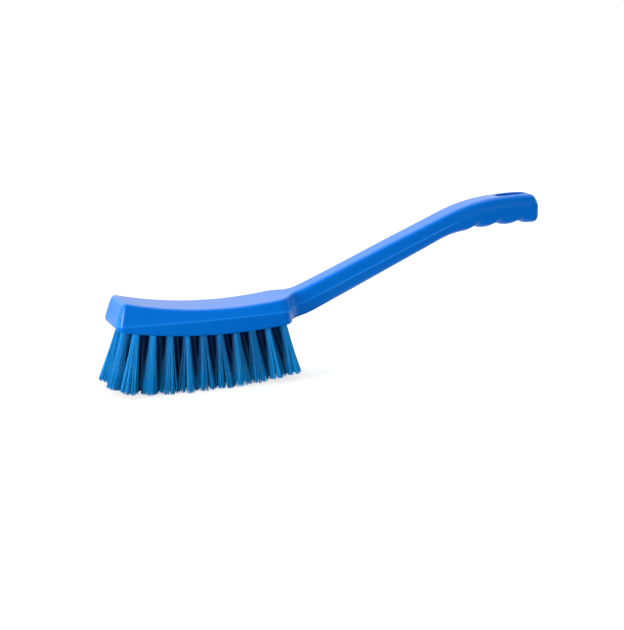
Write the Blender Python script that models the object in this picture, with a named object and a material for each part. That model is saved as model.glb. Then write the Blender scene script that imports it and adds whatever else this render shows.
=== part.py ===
# Long-handle cleaning brush: a one-piece moulded block and handle, filled with stapled tufts.
# Metres, +Z up. The brush runs along +X from the block's front end to the grip, and is
# symmetric about Y = 0. All shapes are worked out in the moulding's own frame, where X starts
# at the front end and Z at the mould parting line, and the last step moves the whole brush so
# that its origin is at the bottom centre of its box, in the plane that its bristles stand on.

import math

import bmesh
import bpy
from mathutils import Matrix, Vector

# Driving dimensions of the moulding
OVERALL_LENGTH = 0.4097
BLOCK_LENGTH = 0.1585
BLOCK_WIDTH = 0.047
BLOCK_TOP_WIDTH = 0.040
BLOCK_BOTTOM_WIDTH = 0.0455
TOP_HEIGHT_AT_FRONT = 0.0216
BOTTOM_DEPTH_AT_FRONT = 0.0042
NECK_LENGTH = 0.0195
NECK_WIDTH = 0.0206
NECK_TOP_WIDTH = 0.0184
NECK_BOTTOM_WIDTH = 0.0182
GRIP_WIDTH = 0.0262
GRIP_TOP_WIDTH = 0.0234
GRIP_BOTTOM_WIDTH = 0.0226
GRIP_LENGTH = 0.0957
GRIP_BEND_LENGTH = 0.048
UNDER_TURN_LAG = 0.0090
UNDER_BEND_LEAD = 0.0065
UNDER_BEND_LENGTH = 0.020
UNDER_LEVEL_FROM_END = 0.0252

# Slope of the side view's three lines, in degrees, at the stations named in the function lines
SADDLE_FRONT_ANGLE = -16.0
SADDLE_BACK_ANGLE = 7.6
BELLY_FRONT_ANGLE = -12.2
BELLY_BACK_ANGLE = 6.9
PARTING_END_ANGLE = 1.6
HANDLE_TOP_ANGLE = 22.0
HANDLE_UNDER_ANGLE = 24.3
GRIP_TOP_ANGLE = 4.7
GRIP_TOP_END_ANGLE = -0.75
PARTING_HANDLE_ANGLE = 22.7
GRIP_PARTING_ANGLE = 4.5
GRIP_UNDER_ANGLE = 7.1
SADDLE_LOW_SHARE = 0.62

# Rounding and draft of the moulding
TOP_EDGE_RADIUS = 0.0034
BLOCK_BOTTOM_RADIUS = 0.0016
HANDLE_BOTTOM_RADIUS = 0.0044
FRONT_END_RADIUS = 0.0060
FRONT_RAKE = 0.0041
FRONT_TUCK = 0.0006
FRONT_BLEND_LENGTH = 0.026
GRIP_END_RADIUS = 0.0074
GRIP_END_RAKE = 0.0026
GRIP_END_FOOT = 0.0015
GRIP_BLEND_LENGTH = 0.024
SHOULDER_OUTER_RADIUS = 0.0085
SHOULDER_INNER_LENGTH = 0.0095
SHOULDER_DROP_SHARE = 0.6
SHOULDER_TOP_LEAD = 0.0035
BOTTOM_INSET_SHARE = 0.35

# Finger scallops under the grip and the hanging slot through it
SCALLOP_PITCH = 0.0230
SCALLOP_DEPTH = 0.0027
SCALLOP_SIDE_DEPTH = 0.0021
SCALLOP_RADIUS = 0.0018
SCALLOP_SHARPNESS = 1.3
LAST_RIDGE_FROM_END = 0.0085
SCALLOPS = 3
SLOT_LENGTH = 0.0314
SLOT_WIDTH = 0.0106
SLOT_FROM_END = 0.0094
SLOT_RIM = 0.0014
RIM_FACET_SHARE = 0.3

# Tufts of filament in blind holes drilled square to the fanned tufts
ROWS = 5
TUFTS_IN_ROW = 10
HOLE_DIAMETER = 0.0064
HOLE_DEPTH = 0.0105
HOLE_CLEARANCE = 0.0003
FIRST_TUFT_FROM_FRONT = 0.0179
LAST_TUFT_FROM_BLOCK_END = 0.0082
OUTER_ROW_FROM_EDGE = 0.0054
FAN_FRONT_ANGLE = 12.5
FAN_BACK_ANGLE = 9.0
FAN_ACROSS_ANGLE = 10.0
BRISTLE_HEIGHT = 0.0600
TRIM_ARC_RADIUS = 0.545
TRIM_CENTRE_FROM_FRONT = 0.075
STANDING_CUT = 0.0005
STRAND_GAP = 0.00028
TIP_CIRCLE_RADIUS = 0.0062
INNER_TIP_SHARE = 0.5
STAPLE_THICKNESS = 0.0005
STAPLE_HEIGHT = 0.0018

# Fineness of the surfaces
EDGE_SEGMENTS = 3
END_STEPS = 4
BLOCK_STEPS = 14
SHOULDER_STEPS = 4
NECK_STEPS = 3
HANDLE_STEPS = 7
BEND_STEPS = 3
SCALLOP_STEPS = 10
HOLE_SIDES = 8
SLOT_END_SEGMENTS = 8
SMOOTH_ANGLE = 32.0
TRIM_PASSES = 8
CUT_OVERRUN = 0.004
STATION_GAP = 0.0002
LEVEL_TOLERANCE = 0.000001

# Colours and surface of the two plastics
MOULDING_COLOUR = (0.0024, 0.145, 0.62, 1.0)
MOULDING_ROUGHNESS = 0.32
FILAMENT_COLOUR = (0.012, 0.26, 0.62, 1.0)
FILAMENT_ROUGHNESS = 0.38

# Stations along X that follow from the driving dimensions
SHOULDER_START = BLOCK_LENGTH - SHOULDER_OUTER_RADIUS
SHOULDER_END = BLOCK_LENGTH + SHOULDER_INNER_LENGTH
HANDLE_START = BLOCK_LENGTH + NECK_LENGTH
BEND_START = OVERALL_LENGTH - GRIP_LENGTH
BEND_END = BEND_START + GRIP_BEND_LENGTH
SADDLE_LOW = SADDLE_LOW_SHARE * BLOCK_LENGTH
PARTING_LOW = SHOULDER_START / 2
UNDER_BEND_START = BEND_START - UNDER_BEND_LEAD
LAST_RIDGE = OVERALL_LENGTH - LAST_RIDGE_FROM_END
FIRST_RIDGE = LAST_RIDGE - SCALLOPS * SCALLOP_PITCH
UNDER_LEVEL = OVERALL_LENGTH - UNDER_LEVEL_FROM_END


def clear_scene():
    for obj in list(bpy.data.objects):
        bpy.data.objects.remove(obj, do_unlink=True)


def new_collection(name):
    collection = bpy.data.collections.new(name)
    bpy.context.scene.collection.children.link(collection)
    return collection


def plastic(name, colour, roughness):
    material = bpy.data.materials.new(name)
    material.use_nodes = True
    shader = material.node_tree.nodes["Principled BSDF"]
    shader.inputs["Base Color"].default_value = colour
    shader.inputs["Roughness"].default_value = roughness
    shader.inputs["Metallic"].default_value = 0
    material.diffuse_color = colour
    return material


def object_from_bmesh(name, bm, collection, material=None):
    mesh = bpy.data.meshes.new(name)
    bmesh.ops.recalc_face_normals(bm, faces=bm.faces)
    bm.to_mesh(mesh)
    bm.free()
    obj = bpy.data.objects.new(name, mesh)
    collection.objects.link(obj)
    if material:
        mesh.materials.append(material)
    return obj


def blend(a, b, share):
    return a + (b - a) * share


def smooth_share(x, start, end):
    """0 before start, 1 after end, and an S-curve between."""
    t = min(max((x - start) / (end - start), 0), 1)
    return t * t * (3 - 2 * t)


def rise(turns, x):
    """Height from the first station to x along a line whose slope angle changes steadily between stations."""
    total = 0
    for (start, first), (end, last) in zip(turns, turns[1:]):
        if x <= start:
            break
        run = min(x, end) - start
        a = math.radians(first)
        bend = math.radians(last - first) / (end - start)
        if first == last:
            total += math.tan(a) * run
        else:
            total += math.log(math.cos(a) / math.cos(a + bend * run)) / bend
    return total


def top_height(x):
    """The top line: a saddle along the block, the straight handle, then the bend to the grip."""
    turns = (
        (0, SADDLE_FRONT_ANGLE),
        (SADDLE_LOW, 0),
        (SHOULDER_START, SADDLE_BACK_ANGLE),
        (HANDLE_START, HANDLE_TOP_ANGLE),
        (BEND_START, HANDLE_TOP_ANGLE),
        (BEND_END, GRIP_TOP_ANGLE),
        (OVERALL_LENGTH, GRIP_TOP_END_ANGLE),
    )
    return TOP_HEIGHT_AT_FRONT + rise(turns, x)


def parting_height(x):
    """The line where the mould halves meet and the drafted sides are widest."""
    turns = (
        (0, -PARTING_END_ANGLE),
        (PARTING_LOW, 0),
        (SHOULDER_START, PARTING_END_ANGLE),
        (HANDLE_START, PARTING_HANDLE_ANGLE),
        (BEND_START, PARTING_HANDLE_ANGLE),
        (BEND_END, GRIP_PARTING_ANGLE),
        (OVERALL_LENGTH, 0),
    )
    return rise(turns, x)


def scallop_share(x):
    """1 in the narrow bottom of a finger scallop and 0 on the broad ridges beside it."""
    if x <= FIRST_RIDGE or x >= LAST_RIDGE:
        return 0
    from_valley = abs(math.cos(math.pi * (x - FIRST_RIDGE) / SCALLOP_PITCH))
    return (1 - from_valley) ** SCALLOP_SHARPNESS


def belly_height(x):
    """The underside line, without its finger scallops."""
    turns = (
        (0, BELLY_FRONT_ANGLE),
        (SADDLE_LOW, 0),
        (SHOULDER_START + UNDER_TURN_LAG, BELLY_BACK_ANGLE),
        (HANDLE_START + UNDER_TURN_LAG, HANDLE_UNDER_ANGLE),
        (UNDER_BEND_START, HANDLE_UNDER_ANGLE),
        (UNDER_BEND_START + UNDER_BEND_LENGTH, GRIP_UNDER_ANGLE),
        (UNDER_LEVEL, 0),
        (OVERALL_LENGTH, 0),
    )
    return rise(turns, x) - BOTTOM_DEPTH_AT_FRONT


def bottom_height(x):
    return belly_height(x) + SCALLOP_DEPTH * scallop_share(x)


def shoulder_share(x):
    """0 on the block and 1 on the neck: a convex arc at the block's corner, then a concave one into the neck."""
    t = (x - SHOULDER_START) / (SHOULDER_END - SHOULDER_START)
    corner = SHOULDER_OUTER_RADIUS / (SHOULDER_END - SHOULDER_START)
    if t <= 0:
        return 0
    if t >= 1:
        return 1
    if t <= corner:
        return SHOULDER_DROP_SHARE * (1 - math.sqrt(max(1 - (t / corner) ** 2, 0)))
    rest = (1 - t) / (1 - corner)
    return blend(SHOULDER_DROP_SHARE, 1, math.sqrt(max(1 - rest * rest, 0)))


def half_width(x, block, neck, grip, share):
    taper = smooth_share(x, HANDLE_START, BEND_END)
    return blend(block, blend(neck, grip, taper), share) / 2


def rounded_corner(before, corner, after, radius):
    """Points of an arc that rounds a corner between two straight sides, as far as its sides allow."""
    to_before = (before - corner).normalized()
    to_after = (after - corner).normalized()
    half_angle = to_before.angle(to_after) / 2
    room = min((before - corner).length, (after - corner).length) / 2
    cut = min(radius / math.tan(half_angle), room)
    centre = corner + (to_before + to_after).normalized() * (cut / math.cos(half_angle))
    start = corner + to_before * cut - centre
    end = corner + to_after * cut - centre
    steps = [k / EDGE_SEGMENTS for k in range(EDGE_SEGMENTS + 1)]
    return [centre + start.normalized().slerp(end.normalized(), step) * start.length for step in steps]


def end_inset(x):
    """How far a section shrinks near an end, so that the end's edges are round."""
    from_front = 1 - x / FRONT_END_RADIUS
    from_back = 1 - (OVERALL_LENGTH - x) / GRIP_END_RADIUS
    if from_front > 0:
        return FRONT_END_RADIUS * (1 - math.sqrt(max(1 - from_front * from_front, 0)))
    if from_back > 0:
        return GRIP_END_RADIUS * (1 - math.sqrt(max(1 - from_back * from_back, 0)))
    return 0


def raked_station(x, upward, downward):
    """X of a point of section x that lies these shares of the way from the parting line to the top or the bottom:
    the end faces lean, so a section near an end shifts along X with its height."""
    front = max(1 - x / FRONT_BLEND_LENGTH, 0)
    back = max(1 - (OVERALL_LENGTH - x) / GRIP_BLEND_LENGTH, 0)
    above = upward * (front * FRONT_RAKE - back * GRIP_END_RAKE)
    return x + above + downward * (front * FRONT_TUCK + back * GRIP_END_FOOT)


def section_corners(x):
    """The top corner, the point on the parting line and the bottom corner of section x, as (Y, Z)."""
    inset = end_inset(x)
    shoulder = shoulder_share(x)
    early = smooth_share(x, SHOULDER_START - SHOULDER_TOP_LEAD, SHOULDER_END)
    raked_top = min(max(raked_station(x, 1, 0), 0), OVERALL_LENGTH)
    top = top_height(raked_top) - inset
    bottom = bottom_height(x) + inset * blend(BOTTOM_INSET_SHARE, 1, shoulder)
    wide = half_width(x, BLOCK_WIDTH, NECK_WIDTH, GRIP_WIDTH, shoulder) - inset
    upper = half_width(x, BLOCK_TOP_WIDTH, NECK_TOP_WIDTH, GRIP_TOP_WIDTH, early) - inset
    lower = half_width(x, BLOCK_BOTTOM_WIDTH, NECK_BOTTOM_WIDTH, GRIP_BOTTOM_WIDTH, shoulder) - inset
    lower -= SCALLOP_SIDE_DEPTH * scallop_share(x)
    return Vector((min(upper, wide), top)), Vector((wide, parting_height(x))), Vector((lower, bottom))


def section(x):
    """The +Y half of the closed section at station x, from the flat top round to the flat bottom."""
    top, parting, bottom = section_corners(x)
    bottom_radius = blend(BLOCK_BOTTOM_RADIUS, HANDLE_BOTTOM_RADIUS, shoulder_share(x))
    bottom_radius += SCALLOP_RADIUS * scallop_share(x)
    outline = rounded_corner(Vector((0, top.y)), top, parting, TOP_EDGE_RADIUS)
    outline.append(parting)
    outline += rounded_corner(parting, bottom, Vector((0, bottom.y)), bottom_radius)
    ring = []
    for p in outline:
        upward = max((p.y - parting.y) / (top.y - parting.y), 0)
        downward = max((parting.y - p.y) / (parting.y - bottom.y), 0)
        ring.append(Vector((raked_station(x, upward, downward), p.x, p.y)))
    return ring


def mirrored_ring(half):
    """A closed ring from its +Y half, which has no point on the mid-plane: there, then back along the -Y side."""
    return half + [Vector((p.x, -p.y, p.z)) for p in reversed(half)]


def loft(rings):
    """A closed solid through mirrored rings of equal length, capped by strips from side to side."""
    bm = bmesh.new()
    loops = [[bm.verts.new(p) for p in ring] for ring in rings]
    count = len(rings[0])
    for near, far in zip(loops, loops[1:]):
        for k in range(count):
            after = (k + 1) % count
            bm.faces.new((near[k], near[after], far[after], far[k]))
    for loop in (loops[0], loops[-1]):
        for k in range(count // 2 - 1):
            bm.faces.new((loop[k], loop[k + 1], loop[count - k - 2], loop[count - k - 1]))
    return bm


def evenly(start, end, steps):
    return [blend(start, end, k / steps) for k in range(1, steps + 1)]


def quarter_turn(steps):
    return [math.pi / 2 * k / steps for k in range(1, steps + 1)]


def stations():
    """The stations of the moulding's sections: close together at the round ends, the shoulder and the scallops."""
    round_start = OVERALL_LENGTH - GRIP_END_RADIUS
    found = [0]
    found += [FRONT_END_RADIUS * (1 - math.cos(a)) for a in quarter_turn(END_STEPS)]
    found += evenly(FRONT_END_RADIUS, SHOULDER_START, BLOCK_STEPS)
    found += [SHOULDER_START + SHOULDER_OUTER_RADIUS * math.sin(a) for a in quarter_turn(SHOULDER_STEPS)]
    found += [SHOULDER_END - SHOULDER_INNER_LENGTH * math.cos(a) for a in quarter_turn(SHOULDER_STEPS)]
    found += evenly(SHOULDER_END, HANDLE_START, NECK_STEPS)
    found += evenly(HANDLE_START, UNDER_BEND_START, HANDLE_STEPS)
    found += evenly(UNDER_BEND_START, FIRST_RIDGE, BEND_STEPS)
    found += evenly(FIRST_RIDGE, LAST_RIDGE, SCALLOPS * SCALLOP_STEPS)
    found += evenly(LAST_RIDGE, round_start, 1)
    found += [round_start + GRIP_END_RADIUS * math.sin(a) for a in quarter_turn(END_STEPS)]
    kept = [0]
    for x in sorted(found):
        if x - kept[-1] > STATION_GAP:
            kept.append(x)
    return kept


def slot_outline(grow):
    """The +Y half of a stadium, from one end round to the other, in X and Y about the slot's middle."""
    radius = SLOT_WIDTH / 2 + grow
    centre = (SLOT_LENGTH - SLOT_WIDTH) / 2
    turn = [math.pi / 2 * (k + 0.5) / SLOT_END_SEGMENTS for k in range(SLOT_END_SEGMENTS)]
    outline = [(centre + radius * math.cos(a), radius * math.sin(a)) for a in turn]
    outline += [(-centre - radius * math.sin(a), radius * math.cos(a)) for a in turn]
    return outline


def slot_cutter(collection):
    """The hanging slot's cutter. It follows the grip's top line and flares there, to round the slot's rim."""
    middle = OVERALL_LENGTH - SLOT_FROM_END - SLOT_LENGTH / 2
    facet = SLOT_RIM * RIM_FACET_SHARE
    flare = SLOT_RIM + SLOT_RIM - facet
    through = top_height(middle) - belly_height(middle) + CUT_OVERRUN
    levels = (
        (-through, 0),
        (-SLOT_RIM, 0),
        (-facet, facet),
        (facet, flare),
        (CUT_OVERRUN, flare),
    )
    rings = []
    for level, grow in levels:
        half = [Vector((middle + x, y, top_height(middle + x) + level)) for x, y in slot_outline(grow)]
        rings.append(mirrored_ring(half))
    cutter = object_from_bmesh("hanging_slot_cutter", loft(rings), collection)
    return hide_helper(cutter)


def hide_helper(obj):
    obj.hide_render = True
    obj.display_type = "WIRE"
    return obj


def tuft_places():
    """Mouth and direction of each tuft: rows across the block, every second one half a pitch nearer the front."""
    last = BLOCK_LENGTH - LAST_TUFT_FROM_BLOCK_END
    pitch = (last - FIRST_TUFT_FROM_FRONT) / (TUFTS_IN_ROW - 1)
    middle = (FIRST_TUFT_FROM_FRONT + last) / 2
    outer_row = BLOCK_BOTTOM_WIDTH / 2 - OUTER_ROW_FROM_EDGE
    places = []
    for row in range(ROWS):
        across = 2 * row / (ROWS - 1) - 1
        shift = pitch / 2 if row % 2 else 0
        for k in range(TUFTS_IN_ROW):
            x = FIRST_TUFT_FROM_FRONT + k * pitch - shift
            along = (x - middle) / (last - middle)
            lean_x = math.tan(math.radians(FAN_FRONT_ANGLE if along < 0 else FAN_BACK_ANGLE) * along)
            lean_y = math.tan(math.radians(FAN_ACROSS_ANGLE) * across)
            mouth = Vector((x, outer_row * across, belly_height(x)))
            places.append((row + 1, k + 1, mouth, Vector((lean_x, lean_y, -1)).normalized()))
    return places


def prism(radius, inner, outer):
    """An upright prism with HOLE_SIDES sides that reaches inner above the origin and outer below it."""
    bm = bmesh.new()
    bmesh.ops.create_cone(
        bm,
        cap_ends=True,
        segments=HOLE_SIDES,
        radius1=radius,
        radius2=radius,
        depth=inner + outer,
    )
    bmesh.ops.translate(bm, verts=bm.verts, vec=Vector((0, 0, (inner - outer) / 2)))
    return bm


def placement(mouth, direction):
    """The move that puts the origin at a hole's mouth and turns the downward axis to its tuft's direction."""
    turn = Vector((0, 0, -1)).rotation_difference(direction).to_matrix().to_4x4()
    return Matrix.Translation(mouth) @ turn


def hole_cutters(collection):
    """One mesh with a prism for each blind tuft hole."""
    joined = bmesh.new()
    spare = bpy.data.meshes.new("spare")
    for _, _, mouth, direction in tuft_places():
        hole = prism(HOLE_DIAMETER / 2, HOLE_DEPTH, CUT_OVERRUN)
        hole.transform(placement(mouth, direction))
        hole.to_mesh(spare)
        joined.from_mesh(spare)
        hole.free()
    bpy.data.meshes.remove(spare)
    return hide_helper(object_from_bmesh("tuft_hole_cutters", joined, collection))


def cut(obj, cutter):
    modifier = obj.modifiers.new("cut " + cutter.name, "BOOLEAN")
    modifier.operation = "DIFFERENCE"
    modifier.solver = "EXACT"
    modifier.object = cutter


def make_body(collection, cutters, material):
    """The moulding: a loft through drafted sections, with the hanging slot and the tuft holes cut out."""
    rings = [mirrored_ring(section(x)) for x in stations()]
    body = object_from_bmesh("brush_body", loft(rings), collection, material)
    cut(body, slot_cutter(cutters))
    cut(body, hole_cutters(cutters))
    body.data.shade_smooth()
    body.data.set_sharp_from_angle(angle=math.radians(SMOOTH_ANGLE))
    return body


def trim_height(x):
    """The height at which the bristles are cut: a shallow arc, and flat in the plane that the brush stands on."""
    from_centre = x - TRIM_CENTRE_FROM_FRONT
    arc = TRIM_ARC_RADIUS - math.sqrt(max(TRIM_ARC_RADIUS**2 - from_centre**2, 0))
    return max(arc, STANDING_CUT) - STANDING_CUT - BRISTLE_HEIGHT


def trimmed(point, along):
    """Where a line from point runs into the trimmed surface."""
    share = 1
    for _ in range(TRIM_PASSES):
        share = (trim_height(point.x + along.x * share) - point.z) / along.z
    return point + along * share


def end_faces(bm, height):
    """The faces that lie flat at height."""
    return [f for f in bm.faces if all(abs(v.co.z - height) < LEVEL_TOLERANCE for v in f.verts)]


def raise_staple(bm, plug_length):
    """The staple that holds the folded filaments, a bar standing across the plug's inner end."""
    for side in (-1, 1):
        edge = Vector((0, side * STAPLE_THICKNESS / 2, plug_length))
        inner_end = end_faces(bm, plug_length)
        geometry = inner_end + list({e for f in inner_end for e in f.edges})
        geometry += list({v for f in inner_end for v in f.verts})
        bmesh.ops.bisect_plane(bm, geom=geometry, plane_co=edge, plane_no=Vector((0, side, 0)))
    face = min(end_faces(bm, plug_length), key=lambda f: abs(f.calc_center_median().y))
    grown = bmesh.ops.extrude_discrete_faces(bm, faces=[face])["faces"]
    bmesh.ops.translate(bm, verts=grown[0].verts, vec=Vector((0, 0, STAPLE_HEIGHT)))


def grow_strands(bm, mouth, direction):
    """Splits the plug's outer face into wedges and draws a fanned strand out of each, down to the trimmed surface.

    On each side of the tuft every second strand stays nearer its middle."""
    outer = min(bm.faces, key=lambda f: (f.calc_center_median() - mouth).length)
    wedges = bmesh.ops.poke(bm, faces=[outer])["faces"]
    bmesh.ops.inset_individual(bm, faces=wedges, thickness=STRAND_GAP)
    ends = bmesh.ops.extrude_discrete_faces(bm, faces=wedges)["faces"]
    reach = BRISTLE_HEIGHT + mouth.z
    for end in ends:
        root = end.calc_center_median()
        aside = root - mouth
        aside -= direction * aside.dot(direction)
        wedge = int(abs(math.atan2(aside.y, aside.x)) * HOLE_SIDES / (2 * math.pi))
        circle = TIP_CIRCLE_RADIUS * (1 if wedge % 2 else INNER_TIP_SHARE)
        tip = mouth + direction * (reach / -direction.z) + aside.normalized() * circle
        for vertex in end.verts:
            vertex.co = trimmed(vertex.co, tip - root)


def make_tuft(name, mouth, direction, collection, material):
    """One tuft: the folded filaments packed in their hole, the staple across the fold, and the fanned strands."""
    plug_length = HOLE_DEPTH - STAPLE_HEIGHT - HOLE_CLEARANCE
    bm = prism(HOLE_DIAMETER / 2 - HOLE_CLEARANCE, plug_length, 0)
    raise_staple(bm, plug_length)
    bm.transform(placement(mouth, direction))
    grow_strands(bm, mouth, direction)
    return object_from_bmesh(name, bm, collection, material)


def centre_on_base(objects):
    """Parents the pieces to an empty and moves it, so that the origin is at the bottom centre of their box."""
    bpy.context.view_layer.update()
    corners = [obj.matrix_world @ v.co for obj in objects for v in obj.data.vertices]
    xs = [p.x for p in corners]
    low = min(p.z for p in corners)
    frame = bpy.data.objects.new("brush_frame", None)
    objects[0].users_collection[0].objects.link(frame)
    for obj in objects:
        obj.parent = frame
    frame.location = (-(min(xs) + max(xs)) / 2, 0, -low)
    return frame


def main():
    clear_scene()
    brush = new_collection("long_handle_brush")
    cutters = new_collection("cutters")
    moulding = plastic("moulding_blue", MOULDING_COLOUR, MOULDING_ROUGHNESS)
    filament = plastic("filament_blue", FILAMENT_COLOUR, FILAMENT_ROUGHNESS)
    body = make_body(brush, cutters, moulding)
    pieces = [body]
    for row, place, mouth, direction in tuft_places():
        name = f"tuft_row{row}_{place:02d}"
        pieces.append(make_tuft(name, mouth, direction, brush, filament))
    frame = centre_on_base(pieces)
    for cutter in cutters.objects:
        cutter.parent = frame


main()
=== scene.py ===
# Long-handle cleaning brush: the looks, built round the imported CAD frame. Metres, +Z up, brush along X.

import math

import bmesh
import bpy
import numpy as np
from mathutils import Euler, Matrix, Vector


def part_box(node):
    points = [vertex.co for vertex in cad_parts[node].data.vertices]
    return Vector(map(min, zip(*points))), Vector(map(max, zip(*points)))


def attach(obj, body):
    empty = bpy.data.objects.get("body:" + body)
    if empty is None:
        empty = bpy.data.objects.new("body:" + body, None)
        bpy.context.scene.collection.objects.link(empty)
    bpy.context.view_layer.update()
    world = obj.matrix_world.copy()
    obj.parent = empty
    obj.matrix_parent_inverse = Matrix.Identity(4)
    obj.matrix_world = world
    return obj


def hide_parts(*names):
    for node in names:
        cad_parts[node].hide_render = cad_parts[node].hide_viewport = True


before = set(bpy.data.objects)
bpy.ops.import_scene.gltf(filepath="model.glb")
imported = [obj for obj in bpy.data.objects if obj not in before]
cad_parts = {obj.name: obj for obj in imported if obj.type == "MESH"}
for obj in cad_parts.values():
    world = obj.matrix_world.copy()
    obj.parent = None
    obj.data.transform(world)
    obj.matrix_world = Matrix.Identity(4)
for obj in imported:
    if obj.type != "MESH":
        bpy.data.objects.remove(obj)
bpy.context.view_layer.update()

print("frame loaded:", len(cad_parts), "CAD nodes")

# The moulding's own frame: X from the front end, Z from the parting line of the block. Angles are in degrees.
mould = {
    # Shared with the CAD solids: lengths, widths and heights
    "length": 0.4097, "blockLength": 0.1585, "blockWidth": 0.047, "blockTopWidth": 0.040,
    "blockBottomWidth": 0.0455, "topHeightAtFront": 0.0216, "bottomDepthAtFront": 0.0042,
    "neckLength": 0.0195, "neckWidth": 0.0206, "neckTopWidth": 0.0184, "neckBottomWidth": 0.0182,
    "gripLength": 0.0957, "gripWidth": 0.0262, "gripTopWidth": 0.0234, "gripBottomWidth": 0.0226,
    "gripBendLength": 0.048, "underTurnLag": 0.0090, "underBendLead": 0.0065, "underBendLength": 0.020,
    "underLevelFromEnd": 0.0252,
    # Slopes of the top, the parting line and the underside
    "saddleFrontAngle": -16.0, "saddleBackAngle": 7.6, "saddleLowShare": 0.62,
    "bellyFrontAngle": -12.2, "bellyBackAngle": 6.9, "partingEndAngle": 1.6,
    "handleTopAngle": 22.0, "handlePartingAngle": 22.7, "handleUnderAngle": 24.3,
    "gripTopAngle": 4.7, "gripTopEndAngle": -0.75, "gripPartingAngle": 4.5, "gripUnderAngle": 7.1,
    # Edges, ends and shoulder
    "topEdgeRadius": 0.0034, "handleTopRadius": 0.0042, "blockBottomRadius": 0.0016, "handleBottomRadius": 0.0044,
    "frontEndRadius": 0.0060, "frontRake": 0.0041, "frontTuck": 0.0006, "frontBlendLength": 0.026,
    "gripEndRadius": 0.0074, "gripEndRake": 0.0026, "gripEndFoot": 0.0015, "gripBlendLength": 0.024,
    "shoulderOuterRadius": 0.0085, "shoulderInnerLength": 0.0095, "shoulderDropShare": 0.6,
    "shoulderTopLead": 0.0035, "bottomInsetShare": 0.35,
    # Finger scallops and the slot to hang the brush by
    "scallops": 3, "scallopPitch": 0.0230, "scallopDepth": 0.0027, "scallopSharpness": 1.3,
    "lastRidgeFromEnd": 0.0085, "slotLength": 0.0314, "slotWidth": 0.0106, "slotFromEnd": 0.0094,
    # In the looks alone, or finer here than in the CAD solids
    "scallopSideDepth": 0.0026, "scallopSweep": 0.016, "scallopFade": 3.0, "scallopAnchorShare": 0.8625,
    "slotRim": 0.0020, "slotRimFrom": 0.14, "frontCrown": 0.0011, "gripTopRadius": 0.0056,
    "shoulderEase": 0.30, "shoulderLowerEase": 0.45, "shoulderLowerLag": 0.0015,
    "topLift": 0.0005, "topLiftFrom": 0.20, "topLiftTo": 0.26, "gripLift": 0.0004, "underDrop": 0.0005,
    "topGroove": 0.00012, "grooveStart": 0.172, "grooveFull": 0.184, "grooveFadeFrom": 0.300, "grooveFadeTo": 0.345,
    "seamHeight": 0.00018, "seamWidth": 0.0010, "seamBellShare": 0.4, "seamSideShare": 0.9,
    "seamFadeStart": 0.315, "seamFadeEnd": 0.350, "meltedWidth": 0.0085, "seamRoomShare": 0.8,
}
shoulderStart = mould["blockLength"] - mould["shoulderOuterRadius"]
shoulderEnd = mould["blockLength"] + mould["shoulderInnerLength"]
handleStart = mould["blockLength"] + mould["neckLength"]
bendStart = mould["length"] - mould["gripLength"]
bendEnd = bendStart + mould["gripBendLength"]
saddleLow = mould["saddleLowShare"] * mould["blockLength"]
underBendStart = bendStart - mould["underBendLead"]
slotMiddle = mould["length"] - mould["slotFromEnd"] - mould["slotLength"] / 2
lastRidge = mould["length"] - mould["lastRidgeFromEnd"]
firstRidge = lastRidge - mould["scallops"] * mould["scallopPitch"]

# How finely the moulding is sampled, and how far its cutters reach past it
fineness = {
    "stationStep": 0.0011, "leastStep": 0.00002, "endSteps": 12, "shoulderSteps": 14, "topColumns": 9,
    "edgeSteps": 9, "upperSteps": 6, "seamSteps": 6, "lowerSteps": 5, "bottomColumns": 8, "capBorder": 0.88,
    "slotTurnSteps": 14, "slotRunSteps": 13, "rimSteps": 6, "rimsPastSlot": 2,
    "holeSides": 28, "pastHole": 0.004, "sharpAngle": 50,
}


def blend(a, b, share):
    return a + (b - a) * share


def smoothShare(x, start, end):
    # 0 before start, 1 after end, the cubic 3t^2 - 2t^3 between
    t = np.clip((x - start) / (end - start), 0, 1)
    return t * t * (3 - 2 * t)


def bentLine(turns, x):
    # Height at x of a line whose slope angle changes evenly between stations: the integral of
    # the tangent of the angle, which is the logarithm of a ratio of cosines on a bent stretch
    total = np.zeros_like(x)
    for (start, first), (end, last) in zip(turns, turns[1:]):
        run = np.clip(x, start, end) - start
        angle = math.radians(first)
        bend = math.radians(last - first) / (end - start)
        if first == last:
            total += math.tan(angle) * run
        else:
            total += np.log(math.cos(angle) / np.cos(angle + bend * run)) / bend
    return total


def topHeight(x):
    # A saddle over the block, a straight handle and a bend into the grip, lifted a little by cubic steps
    turns = ((0, mould["saddleFrontAngle"]), (saddleLow, 0), (shoulderStart, mould["saddleBackAngle"]),
             (handleStart, mould["handleTopAngle"]), (bendStart, mould["handleTopAngle"]),
             (bendEnd, mould["gripTopAngle"]), (mould["length"], mould["gripTopEndAngle"]))
    atEnd = smoothShare(x, slotMiddle, mould["length"])
    lift = mould["topLift"] * (smoothShare(x, mould["topLiftFrom"], mould["topLiftTo"]) - atEnd)
    lift += mould["gripLift"] * (smoothShare(x, bendStart, bendEnd) - atEnd)
    return mould["topHeightAtFront"] + bentLine(turns, x) + lift


def partingHeight(x):
    # The parting line sags slightly along the block and then follows the handle
    turns = ((0, -mould["partingEndAngle"]), (shoulderStart / 2, 0), (shoulderStart, mould["partingEndAngle"]),
             (handleStart, mould["handlePartingAngle"]), (bendStart, mould["handlePartingAngle"]),
             (bendEnd, mould["gripPartingAngle"]), (mould["length"], 0))
    return bentLine(turns, x)


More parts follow.
